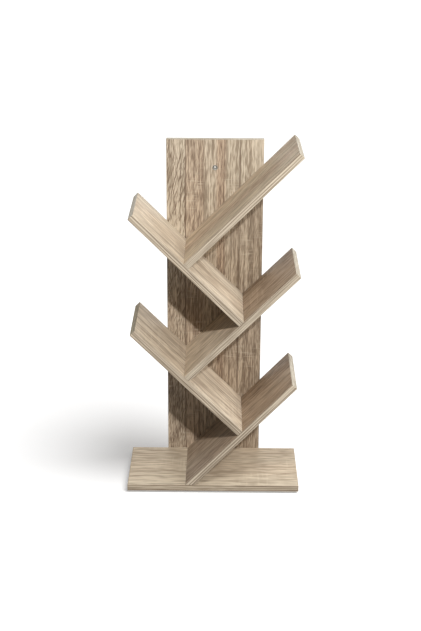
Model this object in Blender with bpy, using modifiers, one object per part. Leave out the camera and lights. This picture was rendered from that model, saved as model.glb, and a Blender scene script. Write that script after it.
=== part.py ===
"""Zig-zag bookshelf: a back panel and a base plank carry five tilted shelves that stand on each other.

Metres, +Z up. The front faces -Y. The origin is the middle of the footprint, on the floor. Boards are
faced chipboard with banded edges, and pieces that touch keep a gap of 0.3 mm.
"""
import math
from dataclasses import dataclass

import bmesh
import bpy
from mathutils import Euler, Matrix, Vector

# Boards, their edge bands and the gap between pieces that touch
BOARD_THICKNESS = 0.015
BAND_THICKNESS = 0.001
GAP = 0.0003

# Base plank and back panel, which rises above where the top shelf leaves its side
BASE_LENGTH = 0.400
SHELF_DEPTH = 0.200
PANEL_WIDTH = 0.224
PANEL_RISE = 0.0567

# Zig-zag: shelves lean right and left in turn, and meet at this reach from the middle
JOINT_REACH = 0.067
SHELF_ANGLE = math.radians(45.0)
RIGHT_SHELF_LENGTH = 0.351
LEFT_SHELF_LENGTH = 0.346

# The lowest shelf is a little longer and steeper, and its foot is mitred to lie on the base
LOWEST_FOOT_REACH = 0.0647
LOWEST_SHELF_ANGLE = math.radians(46.4)
LOWEST_SHELF_LENGTH = 0.3535

# Countersunk screws that come through the panel into the shelves and the base
SCREW_HEAD_RADIUS = 0.0045
SCREW_SHANK_RADIUS = 0.0025
SCREW_BITE = 0.033
SCREW_THREAD_LENGTH = 0.030
SCREW_FROM_FOOT = 0.045
SCREW_FROM_PANEL_SIDE = 0.020
BASE_SCREW_FROM_PANEL_SIDE = 0.030

# Short screws that come through the base into the lowest shelf's foot
FOOT_SCREW_HEAD_RADIUS = 0.0035
FOOT_SCREW_SHANK_RADIUS = 0.00175
FOOT_SCREW_FROM_HEEL = 0.006
FOOT_SCREW_COVER = 0.005
FOOT_SCREW_FROM_EDGE = 0.050

# What all the countersunk screws share
SCREW_RIM = 0.0004
SCREW_SINK = 0.0003
THREAD_PITCH = 0.0045
THREAD_ROOT_SHARE = 0.72
SOCKET_SHARE = 0.45
SOCKET_DEPTH = 0.0018

# Dowels that join each shelf's foot to the shelf that it stands on
DOWEL_RADIUS = 0.004
DOWEL_IN_FOOT = 0.020
DOWEL_COVER = 0.005
DOWEL_CHAMFER = 0.0008
DOWEL_FROM_EDGE = 0.050

# Glides under the base, each with a pin pressed into it
GLIDE_HEIGHT = 0.005
GLIDE_RADIUS = 0.009
GLIDE_ROUNDING = 0.0012
GLIDE_PIN_RADIUS = 0.0015
GLIDE_PIN_COVER = 0.005
GLIDE_FROM_END = 0.028
GLIDE_FROM_EDGE = 0.026

# Fixing near the top of the panel: a small screw in a cup washer
FIXING_BELOW_TOP = 0.066
CUP_BARREL_RADIUS = 0.0046
CUP_LIP = 0.0016
CUP_LIP_EDGE = 0.0003
CUP_CROWN = 0.0009
CUP_RISE = 0.0010
CUP_WALL = 0.0004
CUP_MOUTH_RISE = 0.0004
CUP_DEPTH = 0.0026
CUP_FLOOR = 0.0006
CUP_HOLE_CLEARANCE = 0.0005
FIXING_HEAD_RADIUS = 0.0029
FIXING_HEAD_RIM = 0.0003
FIXING_HEAD_DOME = 0.0009
FIXING_RECESS_RADIUS = 0.0016
FIXING_RECESS_NARROW = 0.0006
FIXING_RECESS_DEPTH = 0.0012
FIXING_SCREW_RADIUS = 0.0015
FIXING_TIP = 0.0025
FIXING_COVER = 0.0045

# Space that a hole keeps past the end of what is in it
HOLE_END_SPACE = 0.0008

# Sides of round pieces
SCREW_SIDES = 12
DOWEL_SIDES = 16
GLIDE_SIDES = 24
CUP_SIDES = 24
SOCKET_SIDES = 6
RECESS_SIDES = 8

# Levels that follow from the sizes above
INNER_EDGE = BAND_THICKNESS + GAP
FRONT_Y = -(SHELF_DEPTH + GAP + BOARD_THICKNESS) / 2
REAR_Y = FRONT_Y + SHELF_DEPTH
PANEL_FRONT_Y = REAR_Y + GAP
PANEL_BACK_Y = PANEL_FRONT_Y + BOARD_THICKNESS
BASE_BOTTOM_Z = GLIDE_HEIGHT
BASE_TOP_Z = BASE_BOTTOM_Z + BOARD_THICKNESS
SCREW_HEAD_Y = PANEL_BACK_Y - SCREW_SINK

# Which way a turned piece's upper end faces
TO_REAR = Euler((-math.pi / 2, 0, 0))
TO_FRONT = Euler((math.pi / 2, 0, 0))
DOWN = Euler((math.pi, 0, 0))
UP = Euler((0, 0, 0))


@dataclass
class Shelf:
    """A shelf's place: lean is 1 for right and -1 for left, and foot lies on its upper face."""

    name: str
    lean: int
    angle: float
    length: float
    foot: Vector
    carrier_normal: Vector

    @property
    def along(self):
        """The way up the shelf, from its foot to its free end."""
        return Vector((self.lean * math.cos(self.angle), 0, math.sin(self.angle)))

    @property
    def normal(self):
        """The way out of its upper face."""
        return Vector((-self.lean * math.sin(self.angle), 0, math.cos(self.angle)))

    def foot_offset(self, depth):
        """How far up the shelf its foot's end lies, at a depth below the upper face."""
        lift = self.along.dot(self.carrier_normal)
        return (GAP + depth * self.normal.dot(self.carrier_normal)) / lift

    def reach(self, x, depth):
        """How far up the shelf a point at a depth below the upper face has the given x."""
        return (x - self.foot.x + depth * self.normal.x) / self.along.x


for leftover in list(bpy.data.objects):
    bpy.data.objects.remove(leftover, do_unlink=True)

parts = bpy.data.collections.new("zigzag_bookshelf")
cutters = bpy.data.collections.new("cutters")
bpy.context.scene.collection.children.link(parts)
bpy.context.scene.collection.children.link(cutters)


# Materials
def principled(name, colour, roughness, metallic=0.0):
    """A material with the part's colour, roughness and metallic value."""
    material = bpy.data.materials.new(name)
    material.use_nodes = True
    shader = material.node_tree.nodes["Principled BSDF"]
    shader.inputs["Base Color"].default_value = (*colour, 1.0)
    shader.inputs["Roughness"].default_value = roughness
    shader.inputs["Metallic"].default_value = metallic
    material.diffuse_color = (*colour, 1.0)
    return material


PANEL_FACE = principled("panel_face", (0.47, 0.36, 0.25), 0.55)
BASE_FACE = principled("base_face", (0.50, 0.40, 0.29), 0.55)
SHELF_FACE = principled("shelf_face", (0.53, 0.43, 0.32), 0.55)
EDGE_BAND = principled("edge_band", (0.50, 0.40, 0.30), 0.5)
ZINC_STEEL = principled("zinc_steel", (0.72, 0.71, 0.68), 0.35, 1.0)
DARK_STEEL = principled("dark_steel", (0.16, 0.15, 0.13), 0.4, 1.0)
DOWEL_WOOD = principled("dowel_wood", (0.68, 0.50, 0.30), 0.7)
GLIDE_PLASTIC = principled("glide_plastic", (0.10, 0.09, 0.08), 0.6)


# Building blocks
def place(name, mesh, material, location=(0, 0, 0), rotation=UP, parent=None):
    """Adds one named part that shows the mesh."""
    part = bpy.data.objects.new(name, mesh)
    if not mesh.materials:
        mesh.materials.append(material)
    part.location = location
    part.rotation_euler = rotation
    part.parent = parent
    parts.objects.link(part)
    return part


def as_cutter(name, mesh, parent=None):
    """Adds an object that only cuts others."""
    cutter = bpy.data.objects.new(name, mesh)
    cutter.parent = parent
    cutter.hide_render = True
    cutter.display_type = "WIRE"
    cutters.objects.link(cutter)
    return cutter


def cut(part, cutter):
    """Takes the cutter's shape out of a part."""
    boolean = part.modifiers.new(cutter.name, "BOOLEAN")
    boolean.operation = "DIFFERENCE"
    boolean.object = cutter


def plank(name, low, high, foot=None):
    """A rectangular mesh between two corners, its foot end moved to lie on what carries it."""
    shape = bmesh.new()
    low = Vector(low)
    high = Vector(high)
    matrix = Matrix.Translation((low + high) / 2) @ Matrix.Diagonal((*(high - low), 1.0))
    bmesh.ops.create_cube(shape, size=1.0, matrix=matrix)
    if foot:
        for vert in shape.verts:
            if abs(vert.co.x) < foot.length / 2:
                vert.co.x = foot.lean * foot.foot_offset(-vert.co.z)
    mesh = bpy.data.meshes.new(name)
    shape.to_mesh(mesh)
    shape.free()
    return mesh


def prism(name, sides, radius, half_height, narrow_radius=None):
    """An upright prism round Z, or a star where every second corner lies at the narrow radius."""
    shape = bmesh.new()
    bmesh.ops.create_cone(shape, cap_ends=True, segments=sides, radius1=radius, radius2=radius,
                          depth=half_height * 2)
    if narrow_radius:
        for vert in shape.verts:
            corner = round(math.atan2(vert.co.y, vert.co.x) / (math.tau / sides))
            if corner % 2:
                vert.co.x *= narrow_radius / radius
                vert.co.y *= narrow_radius / radius
    mesh = bpy.data.meshes.new(name)
    shape.to_mesh(mesh)
    shape.free()
    return mesh


def turned(name, profile, sides, closed=False, socket=None):
    """A solid of (radius, height) points spun round Z, with an optional socket cut from its top."""
    outline = bpy.data.meshes.new(name + "_profile")
    edges = [(index, index + 1) for index in range(len(profile) - 1)]
    if closed:
        edges.append((len(profile) - 1, 0))
    outline.from_pydata([(radius, 0, height) for radius, height in profile], edges, [])
    lathe = as_cutter(name + "_lathe", outline)
    spin = lathe.modifiers.new("spin", "SCREW")
    spin.axis = "Z"
    spin.steps = sides
    spin.render_steps = sides
    spin.use_merge_vertices = True
    spin.merge_threshold = 0.00001
    spent = [lathe]
    if socket:
        tool = as_cutter(name + "_tool", socket)
        tool.location.z = profile[0][1]
        cut(lathe, tool)
        spent.append(tool)
    depsgraph = bpy.context.evaluated_depsgraph_get()
    mesh = bpy.data.meshes.new_from_object(lathe.evaluated_get(depsgraph))
    mesh.name = name
    for helper in spent:
        bpy.data.objects.remove(helper, do_unlink=True)
    mesh.shade_smooth()
    mesh.set_sharp_from_angle(angle=math.radians(30))
    return mesh


def fasten(group, spots, rotation, mesh, material, hole, pieces, parent=None):
    """Puts a fastener of the group at each spot, and cuts its hole in the pieces that it goes through."""
    shape = bmesh.new()
    for spot, location in spots.items():
        place(f"{group}_{spot}", mesh, material, location, rotation, parent)
        first = len(shape.verts)
        shape.from_mesh(hole)
        shape.verts.ensure_lookup_table()
        matrix = Matrix.Translation(location) @ rotation.to_matrix().to_4x4()
        bmesh.ops.transform(shape, matrix=matrix, verts=shape.verts[first:])
    holes = bpy.data.meshes.new(group + "_holes")
    shape.to_mesh(holes)
    shape.free()
    cutter = as_cutter(group + "_holes", holes, parent)
    for piece in pieces:
        cut(piece, cutter)


# Fasteners and their holes, each with its head or upper end at the origin and its tip down
def countersunk_screw(name, head_radius, shank_radius, length, thread_length):
    """A screw with a flat countersunk head, a hexagon socket and a coarse ridged thread."""
    neck = SCREW_RIM + head_radius - shank_radius
    root_radius = shank_radius * THREAD_ROOT_SHARE
    thread_top = length - thread_length
    turns = int(thread_length / THREAD_PITCH - 0.5)
    profile = [(0, 0), (head_radius, 0), (head_radius, -SCREW_RIM), (shank_radius, -neck)]
    for turn in range(turns):
        start = thread_top + turn * THREAD_PITCH
        profile.append((shank_radius, -start))
        profile.append((root_radius, -start - THREAD_PITCH / 2))
    profile.append((shank_radius, -thread_top - turns * THREAD_PITCH))
    profile.append((0, -length))
    socket = prism(name + "_socket", SOCKET_SIDES, head_radius * SOCKET_SHARE, SOCKET_DEPTH)
    return turned(name, profile, SCREW_SIDES, socket=socket)


def screw_hole(name, head_radius, shank_radius, length):
    """The countersunk hole for such a screw, as far below the face as the head is sunk."""
    wide = head_radius + GAP
    narrow = shank_radius + GAP
    rim = SCREW_RIM + GAP * (math.sqrt(2) - 1)
    above = SCREW_SINK + GAP
    bottom = length + HOLE_END_SPACE
    profile = [(0, above), (wide, above), (wide, -rim), (narrow, -rim - wide + narrow),
               (narrow, -bottom), (0, -bottom)]
    return turned(name, profile, SCREW_SIDES)


def straight_hole(name, radius, top, bottom, sides):
    """A plain round hole between two heights."""
    wide = radius + GAP
    return turned(name, [(0, top), (wide, top), (wide, bottom), (0, bottom)], sides)


# Where the five shelves stand, from the lowest up
shelves = [Shelf("shelf_1", 1, LOWEST_SHELF_ANGLE, LOWEST_SHELF_LENGTH,
                 Vector((-LOWEST_FOOT_REACH, 0, BASE_TOP_Z)), Vector((0, 0, 1)))]
for number, length in enumerate((LEFT_SHELF_LENGTH, RIGHT_SHELF_LENGTH) * 2, start=2):
    carrier = shelves[-1]
    joint = carrier.foot + carrier.along * carrier.reach(carrier.lean * JOINT_REACH, 0)
    shelves.append(Shelf(f"shelf_{number}", -carrier.lean, SHELF_ANGLE, length, joint, carrier.normal))

# Back panel
half_panel = PANEL_WIDTH / 2
top_shelf = shelves[-1]
panel_leave = top_shelf.foot + top_shelf.along * top_shelf.reach(top_shelf.lean * half_panel, 0)
panel_top_z = panel_leave.z + PANEL_RISE
panel_board = place("back_panel_board", plank(
    "back_panel_board",
    (-half_panel + INNER_EDGE, PANEL_FRONT_Y, BASE_BOTTOM_Z),
    (half_panel - INNER_EDGE, PANEL_BACK_Y, panel_top_z - INNER_EDGE)), PANEL_FACE)
place("back_panel_top_band", plank(
    "back_panel_top_band",
    (-half_panel + INNER_EDGE, PANEL_FRONT_Y, panel_top_z - BAND_THICKNESS),
    (half_panel - INNER_EDGE, PANEL_BACK_Y, panel_top_z)), EDGE_BAND)
for side, left in (("left", -half_panel), ("right", half_panel - BAND_THICKNESS)):
    place(f"back_panel_{side}_band", plank(
        f"back_panel_{side}_band",
        (left, PANEL_FRONT_Y, BASE_BOTTOM_Z),
        (left + BAND_THICKNESS, PANEL_BACK_Y, panel_top_z)), EDGE_BAND)

# Base
half_base = BASE_LENGTH / 2
base_board = place("base_board", plank(
    "base_board",
    (-half_base + INNER_EDGE, FRONT_Y + INNER_EDGE, BASE_BOTTOM_Z),
    (half_base - INNER_EDGE, REAR_Y - INNER_EDGE, BASE_TOP_Z)), BASE_FACE)
base_long_bands = {}
for side, front in (("front", FRONT_Y), ("rear", REAR_Y - BAND_THICKNESS)):
    base_long_bands[side] = place(f"base_{side}_band", plank(
        f"base_{side}_band",
        (-half_base, front, BASE_BOTTOM_Z),
        (half_base, front + BAND_THICKNESS, BASE_TOP_Z)), EDGE_BAND)
for side, left in (("left", -half_base), ("right", half_base - BAND_THICKNESS)):
    place(f"base_{side}_band", plank(
        f"base_{side}_band",
        (left, FRONT_Y + INNER_EDGE, BASE_BOTTOM_Z),
        (left + BAND_THICKNESS, REAR_Y - INNER_EDGE, BASE_TOP_Z)), EDGE_BAND)

# Fastener meshes that are used more than once
screw_length = BOARD_THICKNESS + GAP + SCREW_BITE - SCREW_SINK
rear_screw = countersunk_screw("rear_screw", SCREW_HEAD_RADIUS, SCREW_SHANK_RADIUS, screw_length,
                               SCREW_THREAD_LENGTH)
rear_screw_hole = screw_hole("rear_screw_hole", SCREW_HEAD_RADIUS, SCREW_SHANK_RADIUS, screw_length)
dowel_in_face = BOARD_THICKNESS - DOWEL_COVER
dowel = turned("dowel", [
    (0, DOWEL_IN_FOOT), (DOWEL_RADIUS - DOWEL_CHAMFER, DOWEL_IN_FOOT),
    (DOWEL_RADIUS, DOWEL_IN_FOOT - DOWEL_CHAMFER), (DOWEL_RADIUS, DOWEL_CHAMFER - dowel_in_face),
    (DOWEL_RADIUS - DOWEL_CHAMFER, -dowel_in_face), (0, -dowel_in_face)], DOWEL_SIDES)
dowel_hole = straight_hole("dowel_hole", DOWEL_RADIUS, DOWEL_IN_FOOT + HOLE_END_SPACE,
                           -dowel_in_face - HOLE_END_SPACE, DOWEL_SIDES)

# Shelves: each is built along x from its foot, with its upper face at z = 0, and tilted by an empty
middle = BOARD_THICKNESS / 2
carrier_board = base_board
for shelf in shelves:
    name = shelf.name
    tilt = bpy.data.objects.new(name, None)
    tilt.location = shelf.foot
    tilt.rotation_euler.y = -shelf.lean * shelf.angle
    parts.objects.link(tilt)
    free_end = shelf.lean * shelf.length
    board_end = shelf.lean * (shelf.length - INNER_EDGE)
    band_start = shelf.lean * (shelf.length - BAND_THICKNESS)
    board = place(f"{name}_board", plank(
        f"{name}_board",
        (min(0, board_end), FRONT_Y + INNER_EDGE, -BOARD_THICKNESS),
        (max(0, board_end), REAR_Y - INNER_EDGE, 0), foot=shelf), SHELF_FACE, parent=tilt)
    long_bands = {}
    for side, front in (("front", FRONT_Y), ("rear", REAR_Y - BAND_THICKNESS)):
        long_bands[side] = place(f"{name}_{side}_band", plank(
            f"{name}_{side}_band",
            (min(0, free_end), front, -BOARD_THICKNESS),
            (max(0, free_end), front + BAND_THICKNESS, 0), foot=shelf), EDGE_BAND, parent=tilt)
    place(f"{name}_end_band", plank(
        f"{name}_end_band",
        (min(band_start, free_end), FRONT_Y + INNER_EDGE, -BOARD_THICKNESS),
        (max(band_start, free_end), REAR_Y - INNER_EDGE, 0)), EDGE_BAND, parent=tilt)

    # Screws through the panel, one near the foot and one near the panel's side
    side_reach = shelf.reach(shelf.lean * (half_panel - SCREW_FROM_PANEL_SIDE), middle)
    fasten(f"{name}_rear_screw",
           {1: (shelf.lean * SCREW_FROM_FOOT, SCREW_HEAD_Y, -middle),
            2: (shelf.lean * side_reach, SCREW_HEAD_Y, -middle)},
           TO_REAR, rear_screw, ZINC_STEEL, rear_screw_hole,
           (panel_board, long_bands["rear"], board), parent=tilt)

    # Dowels into the shelf that carries this one, or screws up through the base
    if carrier_board is base_board:
        heel = (shelf.foot + shelf.along * shelf.foot_offset(BOARD_THICKNESS)
                - shelf.normal * BOARD_THICKNESS)
        screw_x = heel.x - shelf.lean * FOOT_SCREW_FROM_HEEL
        rise = abs(screw_x - shelf.foot.x) * math.tan(shelf.angle)
        bite = rise - FOOT_SCREW_COVER
        foot_screw_length = BOARD_THICKNESS + bite - SCREW_SINK
        head_z = BASE_BOTTOM_Z + SCREW_SINK
        foot_screw = countersunk_screw("foot_screw", FOOT_SCREW_HEAD_RADIUS, FOOT_SCREW_SHANK_RADIUS,
                                       foot_screw_length, bite)
        foot_screw_hole = screw_hole("foot_screw_hole", FOOT_SCREW_HEAD_RADIUS,
                                     FOOT_SCREW_SHANK_RADIUS, foot_screw_length)
        fasten(f"{name}_foot_screw",
               {1: (screw_x, FRONT_Y + FOOT_SCREW_FROM_EDGE, head_z),
                2: (screw_x, REAR_Y - FOOT_SCREW_FROM_EDGE, head_z)},
               DOWN, foot_screw, ZINC_STEEL, foot_screw_hole, (base_board, board))
    else:
        up_the_shelf = Euler((0, shelf.lean * math.pi / 2, 0))
        fasten(f"{name}_dowel",
               {1: (0, FRONT_Y + DOWEL_FROM_EDGE, -middle),
                2: (0, REAR_Y - DOWEL_FROM_EDGE, -middle)},
               up_the_shelf, dowel, DOWEL_WOOD, dowel_hole, (carrier_board, board), parent=tilt)
    carrier_board = board

# Screws through the panel into the base
base_screw_x = half_panel - BASE_SCREW_FROM_PANEL_SIDE
base_middle_z = BASE_BOTTOM_Z + middle
fasten("base_rear_screw",
       {1: (-base_screw_x, SCREW_HEAD_Y, base_middle_z),
        2: (0, SCREW_HEAD_Y, base_middle_z),
        3: (base_screw_x, SCREW_HEAD_Y, base_middle_z)},
       TO_REAR, rear_screw, ZINC_STEEL, rear_screw_hole,
       (panel_board, base_long_bands["rear"], base_board))

# Glides near the corners of the base
disc_top = GLIDE_HEIGHT - GAP
pin_top = GLIDE_HEIGHT + BOARD_THICKNESS - GLIDE_PIN_COVER
glide = turned("glide", [
    (0, pin_top), (GLIDE_PIN_RADIUS, pin_top), (GLIDE_PIN_RADIUS, disc_top), (GLIDE_RADIUS, disc_top),
    (GLIDE_RADIUS, GLIDE_ROUNDING), (GLIDE_RADIUS - GLIDE_ROUNDING, 0), (0, 0)], GLIDE_SIDES)
glide_hole = straight_hole("glide_hole", GLIDE_PIN_RADIUS, pin_top + HOLE_END_SPACE, disc_top,
                           GLIDE_SIDES)
glide_x = half_base - GLIDE_FROM_END
fasten("glide",
       {"front_left": (-glide_x, FRONT_Y + GLIDE_FROM_EDGE, 0),
        "front_right": (glide_x, FRONT_Y + GLIDE_FROM_EDGE, 0),
        "rear_left": (-glide_x, REAR_Y - GLIDE_FROM_EDGE, 0),
        "rear_right": (glide_x, REAR_Y - GLIDE_FROM_EDGE, 0)},
       UP, glide, GLIDE_PLASTIC, glide_hole, (base_board,))

# Cup washer: a crowned lip on the panel's face and a dished barrel sunk into it
lip_radius = CUP_BARREL_RADIUS + CUP_LIP
mouth_radius = CUP_BARREL_RADIUS - CUP_WALL
cup_hole_radius = FIXING_SCREW_RADIUS + CUP_HOLE_CLEARANCE
dish_bottom = CUP_FLOOR - CUP_DEPTH
cup = turned("wall_fixing_cup", [
    (lip_radius - CUP_CROWN, CUP_RISE), (lip_radius, GAP + CUP_LIP_EDGE), (lip_radius, GAP),
    (CUP_BARREL_RADIUS, GAP), (CUP_BARREL_RADIUS, -CUP_DEPTH), (cup_hole_radius, -CUP_DEPTH),
    (cup_hole_radius, dish_bottom), (mouth_radius, CUP_MOUTH_RISE)], CUP_SIDES, closed=True)

# Its screw: a low domed head with a cross recess, whose cone follows the dish
dish_slope = (CUP_MOUTH_RISE - dish_bottom) / (mouth_radius - cup_hole_radius)
seat_lift = GAP * math.hypot(1, dish_slope)
head_edge = dish_bottom + dish_slope * (FIXING_HEAD_RADIUS - cup_hole_radius) + seat_lift
head_rim = head_edge + FIXING_HEAD_RIM
head_top = head_rim + FIXING_HEAD_DOME
neck_z = head_edge - dish_slope * (FIXING_HEAD_RADIUS - FIXING_SCREW_RADIUS)
tip_z = FIXING_COVER - BOARD_THICKNESS
recess = prism("fixing_recess", RECESS_SIDES, FIXING_RECESS_RADIUS, FIXING_RECESS_DEPTH,
               FIXING_RECESS_NARROW)
fixing_screw = turned("wall_fixing_screw", [
    (0, head_top), (FIXING_HEAD_RADIUS / 2, head_top - FIXING_HEAD_DOME / 4),
    (FIXING_HEAD_RADIUS, head_rim), (FIXING_HEAD_RADIUS, head_edge), (FIXING_SCREW_RADIUS, neck_z),
    (FIXING_SCREW_RADIUS, tip_z + FIXING_TIP), (0, tip_z)], CUP_SIDES, socket=recess)
fixing_spot = (0, PANEL_FRONT_Y, panel_top_z - FIXING_BELOW_TOP)
pilot = FIXING_SCREW_RADIUS + GAP
fixing_hole = turned("fixing_hole", [
    (0, GAP), (CUP_BARREL_RADIUS + GAP, GAP), (CUP_BARREL_RADIUS + GAP, -CUP_DEPTH - GAP),
    (pilot, -CUP_DEPTH - GAP), (pilot, tip_z - HOLE_END_SPACE), (0, tip_z - HOLE_END_SPACE)], CUP_SIDES)
place("wall_fixing_cup", cup, DARK_STEEL, fixing_spot, TO_FRONT)
fasten("wall_fixing", {"screw": fixing_spot}, TO_FRONT, fixing_screw, ZINC_STEEL, fixing_hole,
       (panel_board,))
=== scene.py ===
# %% [markdown]
# # Zig-zag bookshelf
# A tall back panel stands behind a base plank, and five tilted planks stand on each other in front of
# it. The lesson starts from the measured solids, and makes each plank again with rounded edges and a
# printed oak finish, in the place that its solid gives.

# %% Load the frame
import math

import bpy
from mathutils import Matrix, Vector


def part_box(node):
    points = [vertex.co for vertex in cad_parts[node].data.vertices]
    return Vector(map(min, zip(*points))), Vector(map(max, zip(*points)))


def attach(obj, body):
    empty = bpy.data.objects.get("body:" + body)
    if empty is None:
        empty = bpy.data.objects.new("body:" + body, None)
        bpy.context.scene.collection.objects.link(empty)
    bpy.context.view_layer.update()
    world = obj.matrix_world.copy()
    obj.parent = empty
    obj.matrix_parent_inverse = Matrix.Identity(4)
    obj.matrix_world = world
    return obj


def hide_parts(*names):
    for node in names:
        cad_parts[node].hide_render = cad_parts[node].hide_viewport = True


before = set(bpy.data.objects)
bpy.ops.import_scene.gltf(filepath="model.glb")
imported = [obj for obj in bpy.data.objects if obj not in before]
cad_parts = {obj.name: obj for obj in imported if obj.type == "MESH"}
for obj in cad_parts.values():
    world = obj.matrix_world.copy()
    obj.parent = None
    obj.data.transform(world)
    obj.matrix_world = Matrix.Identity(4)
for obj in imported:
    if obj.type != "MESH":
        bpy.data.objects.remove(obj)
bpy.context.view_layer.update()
print("solids:", len(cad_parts))

# %% [markdown]
# ## Sizes
# The boards are 15 mm chipboard with 1 mm edge bands. The shelves follow one rule: each leans the
# other way from the one below, and stands on it at the same reach from the middle. Only the lowest is
# a little steeper, because its foot lies flat on the base. Values that the solids already hold are
# read from them, so that only the rule is written here.

# %% Sizes and the zig-zag rule
BOARD_THICKNESS = 0.015
BAND_THICKNESS = 0.001
GAP = 0.0003
JOINT_REACH = 0.067
SHELF_ANGLE = math.radians(45.0)
LOWEST_SHELF_ANGLE = math.radians(46.4)
LOWEST_FOOT_REACH = 0.0647
LOWEST_SHELF_LENGTH = 0.3535
RIGHT_SHELF_LENGTH = 0.351
LEFT_SHELF_LENGTH = 0.346

base_low, base_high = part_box("base_front_band")
front_y = base_low.y
rear_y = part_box("base_rear_band")[1].y
base_top_z = base_high.z
panel_low, panel_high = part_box("back_panel_left_band")
panel_half = -panel_low.x
base_half = base_high.x


def shelf_rule():
    """The five shelves from the lowest up: name, lean, along, normal, foot, foot slope and length."""
    shelves = []
    foot = Vector((-LOWEST_FOOT_REACH, 0, base_top_z))
    carrier_normal = Vector((0, 0, 1))
    for number in range(1, 6):
        lean = 1 if number % 2 else -1
        lowest = number == 1
        angle = LOWEST_SHELF_ANGLE if lowest else SHELF_ANGLE
        along = Vector((lean * math.cos(angle), 0, math.sin(angle)))
        normal = Vector((-lean * math.sin(angle), 0, math.cos(angle)))
        length = LOWEST_SHELF_LENGTH if lowest else RIGHT_SHELF_LENGTH if lean > 0 else LEFT_SHELF_LENGTH
        lift = along.dot(carrier_normal)
        shelves.append({"name": f"shelf_{number}", "lean": lean, "along": along, "normal": normal,
                        "foot": foot, "foot_start": GAP / lift,
                        "foot_slope": normal.dot(carrier_normal) / lift, "length": length})
        foot = foot + along * ((lean * JOINT_REACH - foot.x) / along.x)
        carrier_normal = normal
    return shelves


shelves = shelf_rule()
for shelf in shelves:
    print(shelf["name"], "foot", tuple(round(value, 4) for value in shelf["foot"]))

# %% [markdown]
# ## Node helpers
# A node tree is a list of nodes and links. One helper adds a node, sets its settings, and fills its
# sockets with values or with links from other nodes, so that a tree reads from top to bottom.

# %% Helpers for node trees
def add(tree, kind, inputs=None, **settings):
    """Adds a node to a tree and its settings. An input that is a socket is linked, any other is set."""
    node = tree.nodes.new(kind)
    for setting, value in settings.items():
        setattr(node, setting, value)
    for key, value in (inputs or {}).items():
        socket = node.inputs[key]
        if isinstance(value, bpy.types.NodeSocket):
            tree.links.new(value, socket)
        else:
            socket.default_value = value
    return node


def new_group(name, kind, takes, gives, gives_holds="Float"):
    """A node group, and what its input node puts out. An input has a number or the name of its kind."""
    tree = bpy.data.node_groups.new(name, kind)
    for label, default in takes.items():
        holds = default if isinstance(default, str) else "Float"
        socket = tree.interface.new_socket(label, in_out="INPUT", socket_type="NodeSocket" + holds)
        if holds == "Float":
            socket.default_value = default
    for label in gives:
        tree.interface.new_socket(label, in_out="OUTPUT", socket_type="NodeSocket" + gives_holds)
    return tree, add(tree, "NodeGroupInput").outputs


def math_node(tree, operation, first, second=0.0, third=0.0):
    """One Math node, and what it puts out."""
    return add(tree, "ShaderNodeMath", {0: first, 1: second, 2: third}, operation=operation).outputs[0]


def product(tree, first, second, plus=0.0):
    """The product of two values, plus a third."""
    return math_node(tree, "MULTIPLY_ADD", first, second, plus)


def stretched(tree, place, scale):
    """A place whose three directions are scaled, which draws a noise out along the grain."""
    return add(tree, "ShaderNodeVectorMath", {0: place, 1: scale}, operation="MULTIPLY").outputs[0]


def noise(tree, place, scale, detail=2.0, roughness=0.5):
    """A noise. The scale is how many grains it has in a metre, along, across and through the board."""
    return add(tree, "ShaderNodeTexNoise", {
        "Vector": stretched(tree, place, scale), "Scale": 1.0, "Detail": detail,
        "Roughness": roughness}).outputs["Fac"]


def ranged(tree, value, low, high, to_low=0.0, to_high=1.0):
    """The value, moved from the range between low and high to another range and kept inside it."""
    return add(tree, "ShaderNodeMapRange", {
        "Value": value, "From Min": low, "From Max": high, "To Min": to_low,
        "To Max": to_high}, clamp=True).outputs["Result"]


# %% [markdown]
# ## Oak print
# The real boards are chipboard under a printed oak foil. The print has short fibres, long lines,
# broader streaks, dark flecks and faint saw marks across the grain. Photographs of veneer would do
# this too, but noises that are drawn out along the grain give it at any size. The group reads a place
# in the board's own directions: along the grain, across it, and through the board.

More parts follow.
